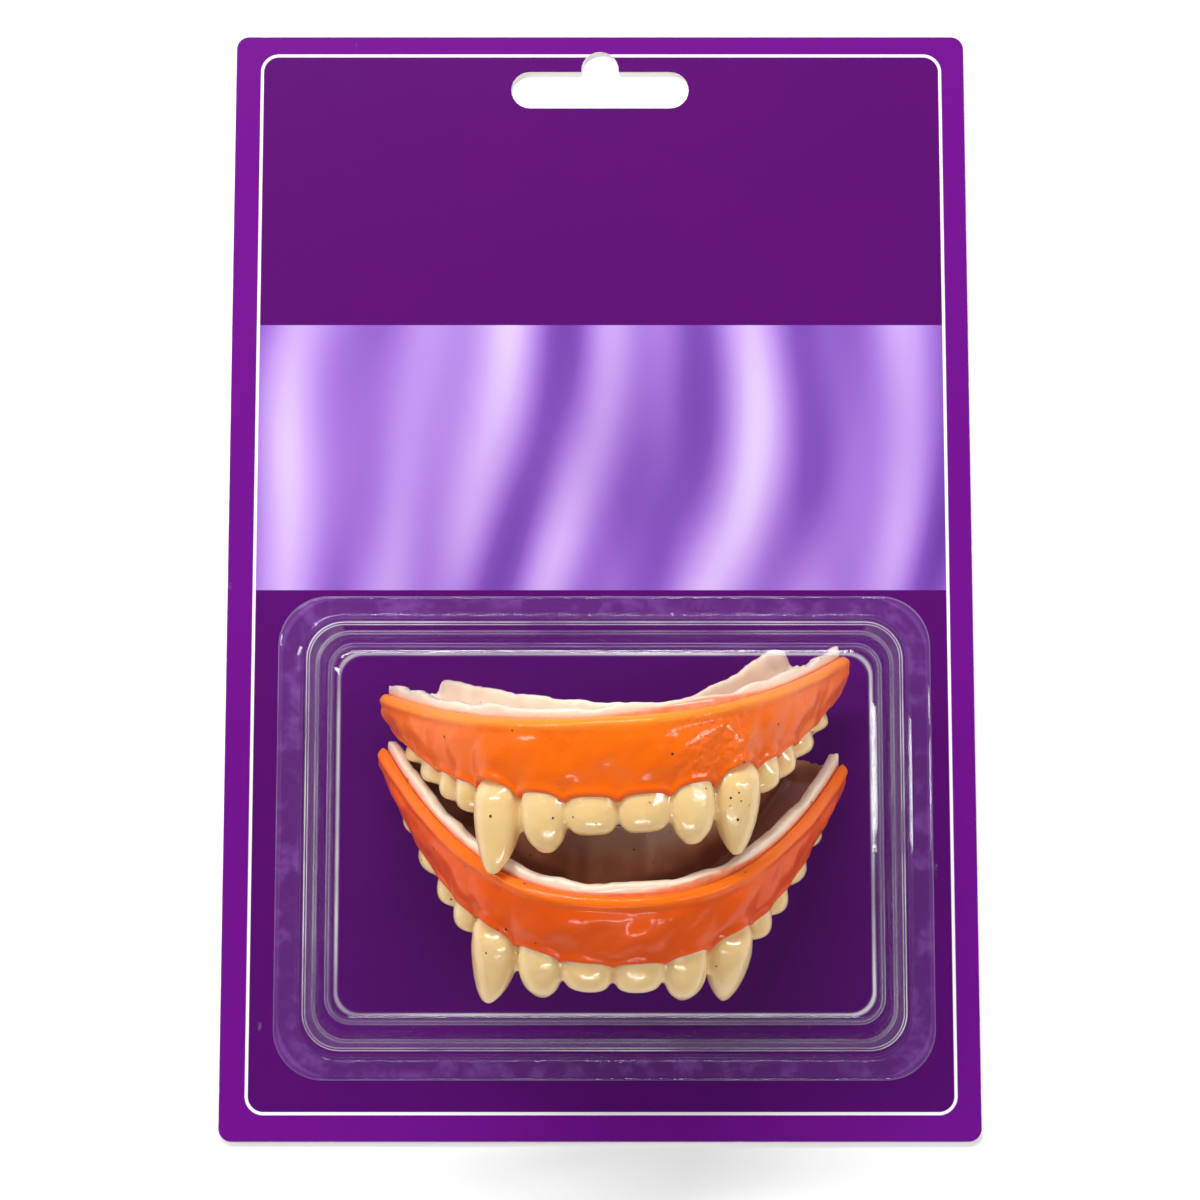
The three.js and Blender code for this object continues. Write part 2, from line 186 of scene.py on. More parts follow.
def card_print():
    material, place = new_finish("card_print")
    x, y, z = (place.axis(n) for n in range(3))
    mottle = place.grain(28, 3)
    fine = place.grain(0.35, 1)

    across = abs(x - KEYLINE_MIDDLE[0]) - KEYLINE_HALF[0]
    along = abs(y - KEYLINE_MIDDLE[1]) - KEYLINE_HALF[1]
    beyond = across.past_corner(along, KEYLINE_CORNER)
    line = 1 - abs(beyond).over(KEYLINE_WIDE * 0.4, KEYLINE_WIDE * 0.62)

    inside = (mottle * 0.7 - y / 260 + 0.15).tint(colour(87, 9, 105), colour(76, 8, 99))
    purple = beyond.over(0, 0.2).tint(inside, colour(104, 12, 130))

    slant = x - y * 0.22 + place.grain(60, 0) * 22
    wide_fold = (slant * (2 * math.pi / FOLD_PITCH)).math("SINE")
    thin_fold = (slant * (2 * math.pi / FOLD_PITCH * 1.7) + y * 0.03).math("SINE")
    fold = wide_fold * 0.2 + thin_fold * 0.12 + (place.grain(15, 1, (1, 0.2, 1)) - 0.5) * 0.9 + 0.5
    stops = [
        (0.0, colour(84, 40, 132)), (0.28, colour(122, 76, 174)), (0.5, colour(158, 114, 204)),
        (0.75, colour(190, 156, 224)), (1.0, colour(222, 204, 242)),
    ]
    cloth = fold.node("ShaderNodeValToRGB", {"stops": stops}, {0: fold})
    in_band = y.over(DRAPE_FROM - 0.05, DRAPE_FROM + 0.05) - y.over(DRAPE_TO - 0.05, DRAPE_TO + 0.05)
    in_band = in_band * (1 - abs(x - KEYLINE_MIDDLE[0]).over(DRAPE_HALF - 0.05, DRAPE_HALF + 0.05))
    printed = line.tint(in_band.tint(purple, cloth), colour(244, 240, 246))
    screened = (fine * 0.004).tint(printed, colour(250, 245, 252))

    near_edge = (abs(x) - CARD_HALF[0]).math("MAXIMUM", abs(y) - CARD_HALF[1])
    rubbed = (near_edge + place.grain(2.2, 3) * 0.5).over(0.24, 0.42)
    scuffs = place.grain(5.5, 6, (1, 0.5, 1)).over(0.71, 0.76) * near_edge.over(-9, -1)
    worn = (rubbed * 0.55 + scuffs * 0.3).math("MINIMUM", 1)

    fibres = place.grain(0.8, 4, (1, 0.35, 3))
    board = (fibres * 0.8).tint(colour(226, 221, 212), colour(246, 243, 237))
    front = z.over(PRINT_TOP - 0.02, PRINT_TOP)
    shown = (front * (1 - worn)).tint(board, screened)
    waves = place.grain(36, 1) * 0.9 + place.grain(0.5, 2) * 0.02
    close_finish(
        place,
        Base_Color=shown,
        Roughness=front * -0.6 + 0.8 + mottle * 0.06,
        Normal=waves.relief(0.5, 0.6),
        Specular_IOR_Level=0.12,
        Coat_Weight=front * 0.05,
        Coat_Roughness=0.2,
    )
    return material


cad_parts["card"].material_slots[0].material = card_print()


# Gum: the outer wall of each denture, moulded with the rest in soft vinyl and sprayed
# orange. It follows the arch, bulges over each root, ends in a scalloped lip round each
# tooth and has a rolled rim; the lower denture's coat is thicker and redder.
ARCH_HALF, ARCH_DEEP, ARCH_POWER = 32.3, 35.6, 2.45
GUM_HIGH, GUM_HIGH_END = 11.1, 5.8
GUM_THICK = 1.2
GUM_BELLY = 0.7
GUM_TAPER, GUM_TAPER_END = 0.6, 2.4
ROOT_BULGE = 0.7
LIP_BEAD = 0.42
RIM_BEAD = 0.2
RIM_ROUND = 0.62
END_ROUND = 0.03
GUM_STATIONS, GUM_ROUND = 420, 56

TOOTH_WIDE, TOOTH_DEEP, FANG_LONG, FANG_RISE, FANG_PROUD = 6.6, 6.8, 11.8, 2.4, 1.5
TOOTH_GAP = 0.3
TEETH = [
    dict(name="central", form="central", wide=1.0, deep=0.68, long=0.42, rise=0.42, proud=0, root=0.8),
    dict(name="lateral", form="lateral", wide=0.96, deep=0.68, long=0.66, rise=0.58, proud=0.25, root=1.2),
    dict(name="fang", form="fang", wide=1.1, deep=0.8, long=1.0, rise=1.0, proud=1.0, root=2.9),
    dict(name="premolar_first", form="molar", wide=0.78, deep=0.91, long=0.36, rise=0.46, proud=0.4, root=1.6),
    dict(name="premolar_second", form="molar", wide=0.8, deep=0.97, long=0.34, rise=0.42, proud=0.1, root=1.1),
    dict(name="molar_first", form="molar", wide=1.08, deep=1.0, long=0.28, rise=0.38, proud=0, root=1.0),
    dict(name="molar_second", form="molar", wide=1.0, deep=0.88, long=0.2, rise=0.33, proud=0, root=0.9),
]
DENTURES = {
    "top": dict(tilt=13.6, roll=2.9, yaw=-1.2, flex=0.09),
    "bottom": dict(tilt=33.8, roll=-0.7, yaw=0.4, flex=-0.08),
}

arch_v = np.linspace(0, 1, 500)
arch_line = np.stack([ARCH_HALF * arch_v, ARCH_DEEP * arch_v**ARCH_POWER], 1)
arch_reached = np.concatenate([[0], np.cumsum(np.linalg.norm(np.diff(arch_line, axis=0), axis=1))])
ARCH_LONG = arch_reached[-1]


def mix(a, b, share):
    return a + (b - a) * share


def arch_at(share):
    """Points of the arch at shares of its half length, and the outward direction there."""
    side = np.where(share < 0, -1.0, 1.0)
    v = np.interp(np.abs(share) * ARCH_LONG, arch_reached, arch_v)
    slope = side * ARCH_DEEP * ARCH_POWER / ARCH_HALF * v ** (ARCH_POWER - 1)
    out = np.stack([slope, -np.ones_like(slope)], -1)
    out /= np.linalg.norm(out, axis=-1, keepdims=True)
    return np.stack([side * ARCH_HALF * v, ARCH_DEEP * v**ARCH_POWER], -1), out


def in_arch(share, outward, up):
    point, out = arch_at(share)
    flat = point + out * np.asarray(outward)[..., None]
    return np.concatenate([flat, np.broadcast_to(up, flat.shape[:-1])[..., None]], -1)


teeth = []
reached = TOOTH_GAP / 2
UNITS = dict(wide=TOOTH_WIDE, deep=TOOTH_DEEP, long=FANG_LONG, rise=FANG_RISE, proud=FANG_PROUD, root=ROOT_BULGE)
for row in TEETH:
    sizes = dict(row, **{name: row[name] * unit for name, unit in UNITS.items()})
    wide = sizes["wide"]
    at = (reached + wide / 2) / ARCH_LONG
    reached += wide + TOOTH_GAP
    teeth += [dict(sizes, at=-at), dict(sizes, at=at)]


def gum_height(share):
    return mix(GUM_HIGH, GUM_HIGH_END, share**2)


def gum_face(share, level):
    return GUM_BELLY * np.sin(np.pi * level) - mix(GUM_TAPER, GUM_TAPER_END, share**2) * level**2


def off_tooth(share, tooth):
    """How far a share lies from a tooth's middle, 1 being at its edge."""
    return np.abs(share - tooth["at"]) * 2 * ARCH_LONG / (tooth["wide"] + TOOTH_GAP)


def gum_lip(share):
    """Height of the scalloped lower edge, with an arch over each tooth."""
    rise = np.zeros_like(share)
    for tooth in teeth:
        off = np.clip(off_tooth(share, tooth), 0, 1)
        rise = np.maximum(rise, tooth["rise"] * (1 - off**2.3) ** 0.62)
    return -gum_height(share) + rise


def gum_roots(share, level):
    bulge = np.zeros(np.broadcast(share, level).shape)
    for tooth in teeth:
        near = np.cos(np.clip(off_tooth(share, tooth), 0, 1) * np.pi / 2)
        bulge = np.maximum(bulge, tooth["root"] * near * np.clip(level - 0.22, 0, 1) ** 1.15)
    return bulge


def mesh_of(name, points, faces):
    mesh = bpy.data.meshes.new(name)
    mesh.from_pydata(points.tolist(), [], faces)
    mesh.update()
    return mesh


def skin_faces(rings, count):
    """Quads between closed rings of equal count, and a cap on each end."""
    faces = []
    for r in range(rings - 1):
        for k in range(count):
            a, b = r * count + k, r * count + (k + 1) % count
            faces.append((a, b, b + count, a + count))
    faces.append(tuple(reversed(range(count))))
    faces.append(tuple(range((rings - 1) * count, rings * count)))
    return faces


def laid_down(points, denture):
    """Points of a denture flexed, with one end up and the other down, and turned as it lies."""
    across = points[:, 0] / ARCH_HALF
    flexed = points + np.outer(denture["flex"] * GUM_HIGH * across * np.abs(across), (0, 0, 1))
    tilt, yaw, roll = (math.radians(denture[name]) for name in ("tilt", "yaw", "roll"))
    turn = Matrix.Rotation(roll, 3, "Z") @ Matrix.Rotation(yaw, 3, "Y") @ Matrix.Rotation(tilt - math.pi / 2, 3, "X")
    return flexed @ np.array(turn).T


def gum_points(wobble):
    share = np.linspace(-1, 1, GUM_STATIONS)[:, None]
    turn = np.linspace(0, 2 * np.pi, GUM_ROUND, endpoint=False)[None, :]
    level = (1 - np.cos(turn)) / 2 + 0 * share
    side = np.where(np.sin(turn) >= 0, 1.0, -1.0) + 0 * share
    low = gum_lip(share[:, 0])[:, None]
    up = level * low
    from_end = np.minimum(level, 1 - level) * -low
    half = GUM_THICK / 2 * np.sqrt(np.clip(1 - (1 - np.clip(from_end / RIM_ROUND, 0, 1)) ** 2, 0, 1))
    ending = np.clip((np.abs(share) - (1 - END_ROUND)) / END_ROUND, 0, 0.98)
    close = np.sqrt(1 - ending**2)
    outer = np.maximum(side, 0)
    from_lip = up - low
    bead = LIP_BEAD * np.exp(-((from_lip - 0.75) / 0.6) ** 2) + RIM_BEAD * np.exp(-((up + 0.75) / 0.45) ** 2)
    groove = 0.1 * np.exp(-((up + 1.75) / 0.35) ** 2)
    uneven = 0.22 * np.sin(share * 21 + level * 3 + wobble) * np.sin(level * 7 + share * 6)
    uneven += 0.07 * np.sin(share * 67 + wobble * 2) * np.sin(level * 13 + share * 29)
    flat = gum_face(share, level)
    outward = flat - GUM_THICK / 2 + side * half * close
    outward += outer * (gum_roots(share, level) + bead - groove + uneven * np.sin(np.pi * level))
    middle = low / 2
    up = middle + (up - middle) * mix(0.9, 1, close)
    return in_arch(share + 0 * level, outward, up).reshape(-1, 3), level.reshape(-1)


def gum_paint(name, face, rim, deep, crinkle_at):
    material, place = new_finish(name)
    down = place.node("ShaderNodeAttribute", {"attribute_name": "down"}, out="Fac")
    thin = place.grain(7, 3)
    tone = (thin * 0.9 - 0.35 + down * 0.35).tint(face, deep)
    tone = (1 - down.over(0.02, 0.2)).tint(tone, rim)
    tone = (down.over(0.88, 1.0) * 0.6).tint(tone, deep)
    blot = place.grain(2.1, 2).over(0.62, 0.75) * 0.2
    tone = blot.tint(tone, rim)
    peel = place.grain(1.5, 2) * 0.5 + place.grain(0.45, 1) * 0.16 + place.grain(4.5, 1) * 0.5
    if crinkle_at:
        off = place.node("ShaderNodeVectorMath", {"operation": "DISTANCE"}, {0: place, 1: crinkle_at}, out=1)
        patch = (off + place.grain(3, 2) * 5).over(10.5, 6.5)
        creases = place.node(
            "ShaderNodeTexVoronoi", {"feature": "DISTANCE_TO_EDGE"},
            {"Vector": place, "Scale": 0.75, "Randomness": 1.0},
        )
        peel = peel + patch * creases.over(0, 0.5) * 0.8 + patch * place.grain(1.4, 3) * 1.6
    close_finish(
        place,
        Base_Color=tone,
        Roughness=place.grain(3, 2) * 0.14 + 0.26,
        Specular_IOR_Level=0.12,
        Normal=peel.relief(0.22, 0.75),
        Subsurface_Weight=0.18,
        Subsurface_Radius=(1.0, 0.35, 0.12),
        Subsurface_Scale=0.9 * MM,
        Coat_Weight=0.4,
        Coat_Roughness=0.05,
        Coat_IOR=1.4,
    )
    return material


gum_colours = {
    "top": (colour(250, 114, 4), colour(255, 148, 44), colour(236, 92, 4), (15.0, -26.0, 39.5)),
    "bottom": (colour(238, 92, 2), colour(248, 114, 10), colour(214, 70, 2), None),
}
shifts = {}
for number, (side, denture) in enumerate(DENTURES.items()):
    points, down = gum_points(number * 2.1)
    turned = laid_down(points, denture)
    low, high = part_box(f"{side}_gum")
    middle = np.array((low + high) / 2) / MM
    shifts[side] = middle - (turned.min(0) + turned.max(0)) / 2
    gum_mesh = mesh_of(f"{side}_gum_wall", (turned + shifts[side]) * MM, skin_faces(GUM_STATIONS, GUM_ROUND))
    gum_mesh.attributes.new("down", "FLOAT", "POINT").data.foreach_set("value", down.astype(np.float32))
    gum_mesh.shade_smooth()
    gum = bpy.data.objects.new(f"{side}_gum_wall", gum_mesh)
    bpy.context.scene.collection.objects.link(gum)
    gum_mesh.materials.append(gum_paint(f"{side}_gum_paint", *gum_colours[side]))
    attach(gum, "root")
    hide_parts(f"{side}_gum")


# Moulding: tray and teeth of each denture are one casting of soft cream vinyl, trimmed by
# hand along the lingual wall and left with its flash behind the gum's rim. The teeth stand
# on the gum's lip, joined by webs, and are a little yellower than the tray.
TRAY_BACK = 1.1
TRAY_INNER = 2.7
TRAY_WALL, TRAY_FLOOR, TRAY_SET_UP = 1.2, 1.5, 1.4
TROUGH_WIDE, TROUGH_WIDE_END = 7.8, 5.2
FLASH_RISE, FLASH_WAVE = 1.3, 0.35
LINGUAL_RISE, LINGUAL_LEAN = 3.9, 0.9
END_WALL, END_WALL_DROP = 1.6, 0.9
TOOTH_PROUD = 0.7
TOOTH_NARROWING = 0.3
FANG_LEAN = 1.2
WEB_FRONT, WEB_BACK = 1.3, 3.3
WEB_SHARE, WEB_SHARE_BACK = 0.55, 0.82
VOXEL = 0.34
SOFTENING = 5
TRAY_STATIONS, TOOTH_RINGS, TOOTH_SIDES = 260, 30, 32

# Painted shade inside each trough, tinted brown for light coming through the orange gum: the depth band where it fades
# in, and how strong it is on each denture.
TROUGH_SHADE_DEPTHS = {"top": (0.5, 6.5), "bottom": (-4.2, 2.5)}
TROUGH_SHADE_SHARES = {"top": 0.3, "bottom": 1.0}

# Hand-cut edge of each lingual wall: share of the half arch, share of LINGUAL_RISE
LINGUAL_EDGES = {
    "top": [
        (-1.0, 0.2), (-0.93, 0.2), (-0.84, 0.22), (-0.6, 0.22), (-0.3, 0.18), (-0.1, 0.1), (0.08, -0.06),
        (0.25, -0.18), (0.42, -0.12), (0.6, 0.06), (0.8, 0.34), (0.93, 0.5), (1.0, 0.2),
    ],
    "bottom": [
        (-1.0, 0.2), (-0.9, 0.5), (-0.6, 0.75), (-0.2, 0.85), (0.2, 0.85), (0.6, 0.75), (0.9, 0.8), (1.0, 0.4),
    ],
}

# Tooth forms from root to tip: share of the length, of the width, and of the depth in front and behind
TOOTH_FORMS = {
    "fang": [
        (-0.22, 0.7, -0.5, -0.7), (0.0, 0.86, -0.24, -0.7), (0.1, 0.98, -0.04, -0.85), (0.3, 1.04, 0.05, -0.98),
        (0.54, 0.98, 0.02, -0.94), (0.74, 0.78, -0.04, -0.78), (0.9, 0.5, -0.12, -0.54), (1.0, 0.22, -0.2, -0.36),
    ],
    "lateral": [
        (-0.3, 0.8, -0.14, -0.6), (0.0, 0.92, -0.03, -0.7), (0.15, 1.02, 0.02, -0.85), (0.35, 1.08, 0.04, -0.94),
        (0.6, 1.02, 0.02, -1.0), (0.82, 0.78, -0.08, -0.88), (1.0, 0.32, -0.3, -0.62),
    ],
    "central": [
        (-0.35, 0.9, -0.12, -0.6), (0.0, 1.0, -0.03, -0.7), (0.2, 1.07, 0.01, -0.85), (0.45, 1.1, 0.03, -0.94),
        (0.7, 1.07, 0.0, -1.0), (0.9, 0.92, -0.1, -0.9), (1.0, 0.66, -0.26, -0.7),
    ],
    "molar": [
        (-0.4, 0.9, -0.1, -0.6), (0.0, 1.0, -0.02, -0.7), (0.25, 1.06, 0.01, -0.85), (0.5, 1.08, 0.02, -0.96),
        (0.82, 0.96, -0.05, -0.94), (1.0, 0.64, -0.22, -0.76),
    ],
}


def through(rows, at):
    """A smooth curve through rows of a table, whose first column says where each one is."""
    rows = np.asarray(rows, float)
    knots, values = rows[:, 0], rows[:, 1:]
    slope = np.gradient(values, knots, axis=0)
    n = np.clip(np.searchsorted(knots, at) - 1, 0, len(knots) - 2)
    step = (knots[n + 1] - knots[n])[:, None]
    t = (at - knots[n])[:, None] / step
    start = (2 * t**3 - 3 * t**2 + 1) * values[n] + (t**3 - 2 * t**2 + t) * step * slope[n]
    return start + (3 * t**2 - 2 * t**3) * values[n + 1] + (t**3 - t**2) * step * slope[n + 1]


def tray_body(wobble, lingual_edge):
    share = np.linspace(-1, 1, TRAY_STATIONS)
    high = gum_height(share)
    under = -(high - TRAY_SET_UP)
    to_end = np.clip((np.abs(share) - 1) * ARCH_LONG / END_WALL + 1.1, 0, 1)
    floor = mix(under + TRAY_FLOOR, -END_WALL_DROP, to_end**0.7)
    across = TRAY_INNER + mix(TROUGH_WIDE, TROUGH_WIDE_END, share**2)
    flash = FLASH_RISE + FLASH_WAVE * np.sin(share * 23) * np.cos(share * 9)
    flash += 0.08 * np.sin(share * 47 + wobble) + 0.03 * np.sin(share * 131 + wobble)
    edge = LINGUAL_RISE * through(lingual_edge, share)[:, 0]
    edge += 0.12 * np.sin(share * 26 + wobble) + 0.04 * np.sin(share * 97 + wobble * 3)
    low = gum_face(share, (under / -high))
    middle = gum_face(share, 0.5)
    half = mix(-high / 3, floor + 0.1, to_end)
    pleat = 0.22 * np.sin(share * 38 + wobble) * np.sin(share * 11)
    section = [
        (low - TRAY_BACK, under),
        (middle - TRAY_BACK, -high / 2),
        (-TRAY_BACK + 0 * share, -GUM_THICK / 2),
        (-TRAY_BACK - 0.15 + 0 * share, flash),
        (-TRAY_INNER + 0 * share, flash - FLASH_WAVE),
        (-TRAY_INNER + pleat / 2, half),
        (low - TRAY_INNER, floor),
        (-across + pleat, floor),
        (-across - LINGUAL_LEAN / 3 + pleat, half),
        (-across - LINGUAL_LEAN + pleat / 2, edge),
        (-across - LINGUAL_LEAN - TRAY_WALL * 0.75 + pleat / 2, edge - 0.12),
        (-across - LINGUAL_LEAN / 3 - TRAY_WALL + pleat, -high / 3),
        (-across - TRAY_WALL + pleat, under),
    ]
    points = [in_arch(share, outward, up) for outward, up in section]
    return np.stack(points, 1).reshape(-1, 3), skin_faces(TRAY_STATIONS, len(section))


def tooth_body(tooth):
    rows = np.array(TOOTH_FORMS[tooth["form"]])
    down = np.linspace(rows[0, 0], 1, TOOTH_RINGS)
    wide, front, back = (column[:, None] for column in through(rows, down).T)
    down = down[:, None]
    angle = np.linspace(0, 2 * np.pi, TOOTH_SIDES, endpoint=False)[None, :]
    cos, sin = np.cos(angle), np.sin(angle)
    face = gum_face(tooth["at"], 1) + TOOTH_PROUD + tooth["proud"]
    sign = 1 if tooth["at"] < 0 else -1
    lean = sign * FANG_LEAN * (tooth["form"] == "fang")
    half_deep = tooth["deep"] * (front - back) / 2
    ridge = 0.28 * np.maximum(sin, 0) ** 9 * np.sin(np.pi * np.clip(down, 0, 1))
    outward = face + tooth["deep"] * (front + back) / 2 + lean * np.maximum(down, 0) ** 2
    outward = outward + half_deep * np.sign(sin) * np.abs(sin) ** 0.9 + ridge
    narrow = 1 + TOOTH_NARROWING * np.minimum(outward - face, 0) / tooth["deep"]
    aside = tooth["wide"] / 2 * wide * np.sign(cos) * np.abs(cos) ** 0.9 * narrow
    top = -(gum_height(tooth["at"]) - tooth["rise"])
    up = top - tooth["long"] * down + 0 * angle
    point, out = arch_at(np.array(tooth["at"]))
    along = np.array([-out[1], out[0]])
    flat = point + out * outward[..., None] + along * aside[..., None]
    points = np.concatenate([flat, up[..., None]], -1).reshape(-1, 3)
    return points, skin_faces(TOOTH_RINGS, TOOTH_SIDES)


def web_body():
    row = sorted(teeth, key=lambda tooth: tooth["at"])
    joins = [(a["at"] + b["at"]) / 2 for a, b in zip(row, row[1:])]
    depths = [
        min(a["long"], b["long"]) * (WEB_SHARE_BACK if a["form"] == b["form"] == "molar" else WEB_SHARE)
        for a, b in zip(row, row[1:])
    ]
    share = np.linspace(row[0]["at"], row[-1]["at"], TRAY_STATIONS)
    top = -gum_height(share) + 1.6
    bottom = -gum_height(share) - np.interp(share, joins, depths)
    face = gum_face(share, 1.0) + TOOTH_PROUD
    section = [
        (face - WEB_FRONT, top), (face - WEB_FRONT, bottom + 0.5), (face - WEB_FRONT - 0.6, bottom),
        (face - WEB_BACK, bottom + 0.3), (face - WEB_BACK - 0.2, top),
    ]
    points = [in_arch(share, outward, up) for outward, up in section]
    return np.stack(points, 1).reshape(-1, 3), skin_faces(TRAY_STATIONS, len(section))


def fused(name, bodies):
    """One closed mesh from overlapping bodies, with its joins softened, in mm."""
    points, faces, first = [], [], 0
    for body, body_faces in bodies:
        points.append(body)
        faces += [tuple(first + corner for corner in face) for face in body_faces]
        first += len(body)
    rough = bpy.data.objects.new("rough", mesh_of("rough", np.concatenate(points), faces))
    bpy.context.scene.collection.objects.link(rough)
    remesh = rough.modifiers.new("remesh", "REMESH")
    remesh.mode = "VOXEL"
    remesh.voxel_size = VOXEL
    smooth = rough.modifiers.new("smooth", "SMOOTH")
    smooth.factor = 0.5
    smooth.iterations = SOFTENING
    evaluated = rough.evaluated_get(bpy.context.evaluated_depsgraph_get())
    mesh = bpy.data.meshes.new_from_object(evaluated)
    mesh.name = name
    bpy.data.objects.remove(rough)
    return mesh


def places_in_arch(points):
    """Share of the half arch and distance outward of each point."""
    share = np.linspace(-1, 1, 801)
    line, out = arch_at(share)
    nearest = np.concatenate([
        np.argmin(((part[:, None, :2] - line[None]) ** 2).sum(-1), 1) for part in np.array_split(points, 40)
    ])
    return share[nearest], ((points[:, :2] - line[nearest]) * out[nearest]).sum(-1)


def rise(value, low, high):
    t = np.clip((value - low) / (high - low), 0, 1)
    return t * t * (3 - 2 * t)


def cream_vinyl():
    material, place = new_finish("cream_vinyl")
    tooth, trough, spray = (
        place.node("ShaderNodeAttribute", {"attribute_name": name}, out="Fac")
        for name in ("tooth", "trough", "spray")
    )
    cloud = place.grain(6, 3)
    lining = (cloud * 1.2 - 0.1).tint(colour(255, 236, 212), colour(250, 218, 186))
    crown = (cloud * 1.4 - 0.2).tint(colour(248, 220, 158), colour(234, 196, 126))
    tone = tooth.tint(lining, crown)
    # Painted shade: the inside of the trough is darkened to brown, as if shadowed and lit through the orange gum.
    tone = (trough * 0.9).tint(tone, colour(166, 84, 34))
    tone = (spray * (place.grain(1.3, 3) * 0.7 + 0.5)).tint(tone, colour(250, 132, 58))
    close_finish(
        place,
        Base_Color=tone,
        Roughness=(1 - tooth) * 0.24 + place.grain(2.5, 2) * 0.12 + 0.14,
        Normal=(place.grain(2.6, 2) * 0.8 + place.grain(0.6, 2) * 0.16).relief(0.3, 0.7),
        Subsurface_Weight=0.4,
        Subsurface_Radius=(1.0, 0.62, 0.36),
        Subsurface_Scale=1.6 * MM,
        Coat_Weight=0.7,
        Coat_Roughness=0.07,
    )
    return material


vinyl = cream_vinyl()
for number, (side, denture) in enumerate(DENTURES.items()):
    bodies = [tray_body(number * 2.1, LINGUAL_EDGES[side]), web_body()] + [tooth_body(tooth) for tooth in teeth]
    name = f"{side}_moulding"
    mesh = fused(name, bodies)
    points = np.empty(len(mesh.vertices) * 3)
    mesh.vertices.foreach_get("co", points)
    points = points.reshape(-1, 3)
    share, outward = places_in_arch(points)
    up = points[:, 2]
    below = gum_lip(share) - up
    across = TRAY_INNER + mix(TROUGH_WIDE, TROUGH_WIDE_END, share**2)
    in_trough = rise(-outward, TRAY_INNER - 0.3, TRAY_INNER + 0.3) * rise(across + 1.5 + outward, 0, 0.5)
    sprayed = 0.35 + 0.9 * np.exp(-((share - 0.24) / 0.16) ** 2)
    zones = {
        "tooth": rise(below, -1.2, 0.4),
        # Painted shade mask: inside the trough, fading in with depth.
        "trough": in_trough * rise(-up, *TROUGH_SHADE_DEPTHS[side]) * TROUGH_SHADE_SHARES[side],
        "spray": rise(-up, -sprayed, -sprayed + 0.5) * rise(outward, -TRAY_BACK - 0.75, -TRAY_BACK - 0.35) * (up > -2),
    }
    for zone, values in zones.items():
        mesh.attributes.new(zone, "FLOAT", "POINT").data.foreach_set("value", values.astype(np.float32))
    turned = (laid_down(points, denture) + shifts[side]) * MM
    mesh.vertices.foreach_set("co", turned.ravel())
    mesh.update()
    mesh.shade_smooth()
    moulding = bpy.data.objects.new(name, mesh)
    bpy.context.scene.collection.objects.link(moulding)
    mesh.materials.clear()
    mesh.materials.append(vinyl)
    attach(moulding, "root")
    tooth_nodes = [f"{side}_{tooth['name']}_{'left' if tooth['at'] < 0 else 'right'}" for tooth in teeth]
    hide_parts(f"{side}_tray", *tooth_nodes)


# Specks: dark grains of grit and burnt vinyl moulded into each denture, strewn at random and
# gathered on the face of the top one's right fang.
SPECK_LEAST, SPECK_MOST = 0.05, 0.2
SPECK_FLAT = 0.35
SPECKS = {
    "top": dict(density=0.014, seed=7, boost=26.0),
    "bottom": dict(density=0.014, seed=19, boost=8.0),
}
SPOT_REACH = 5.0


def speck_tree():
    """Strews flattened grains over a mesh, more of them near a spot."""
    tree = bpy.data.node_groups.new("specks", "GeometryNodeTree")
    tree.interface.new_socket("Geometry", in_out="OUTPUT", socket_type="NodeSocketGeometry")
    tree.interface.new_socket("Geometry", in_out="INPUT", socket_type="NodeSocketGeometry")
    for name in ("Density", "Least", "Most", "Flat", "Spot Reach", "Spot Boost"):
        tree.interface.new_socket(name, in_out="INPUT", socket_type="NodeSocketFloat")
    tree.interface.new_socket("Spot", in_out="INPUT", socket_type="NodeSocketVector")
    tree.interface.new_socket("Seed", in_out="INPUT", socket_type="NodeSocketInt")
    tree.interface.new_socket("Material", in_out="INPUT", socket_type="NodeSocketMaterial")
    start = Wire(tree)
    given = tree.nodes.new("NodeGroupInput")
    size = {socket.name: Wire(tree, socket) for socket in given.outputs}

    place = start.node("GeometryNodeInputPosition")
    off = start.node("ShaderNodeVectorMath", {"operation": "DISTANCE"}, {0: place, 1: size["Spot"]}, out=1)
    near = 1 - (off / size["Spot Reach"]).math("MINIMUM", 1)
    density = size["Density"] * (near * size["Spot Boost"] + 1)
    strewn = tree.nodes.new("GeometryNodeDistributePointsOnFaces")
    for socket, value in (("Mesh", size["Geometry"]), ("Density", density), ("Seed", size["Seed"])):
        tree.links.new(value.socket, strewn.inputs[socket])
    points, turn = Wire(tree, strewn.outputs["Points"]), Wire(tree, strewn.outputs["Rotation"])
    grain = start.node("GeometryNodeMeshIcoSphere", sockets={"Radius": 1.0, "Subdivisions": 2})
    wide = start.node(
        "FunctionNodeRandomValue", {"data_type": "FLOAT"},
        {2: size["Least"], 3: size["Most"], "Seed": size["Seed"]}, out=1,
    )
    scale = start.node("ShaderNodeCombineXYZ", sockets={0: wide, 1: wide, 2: wide * size["Flat"]})
    sown = start.node(
        "GeometryNodeInstanceOnPoints",
        sockets={"Points": points, "Instance": grain, "Rotation": turn, "Scale": scale},
    )
    real = start.node("GeometryNodeRealizeInstances", sockets={"Geometry": sown})
    coated = start.node("GeometryNodeSetMaterial", sockets={"Geometry": real, "Material": size["Material"]})
    tree.links.new(coated.socket, tree.nodes.new("NodeGroupOutput").inputs[0])
    return tree


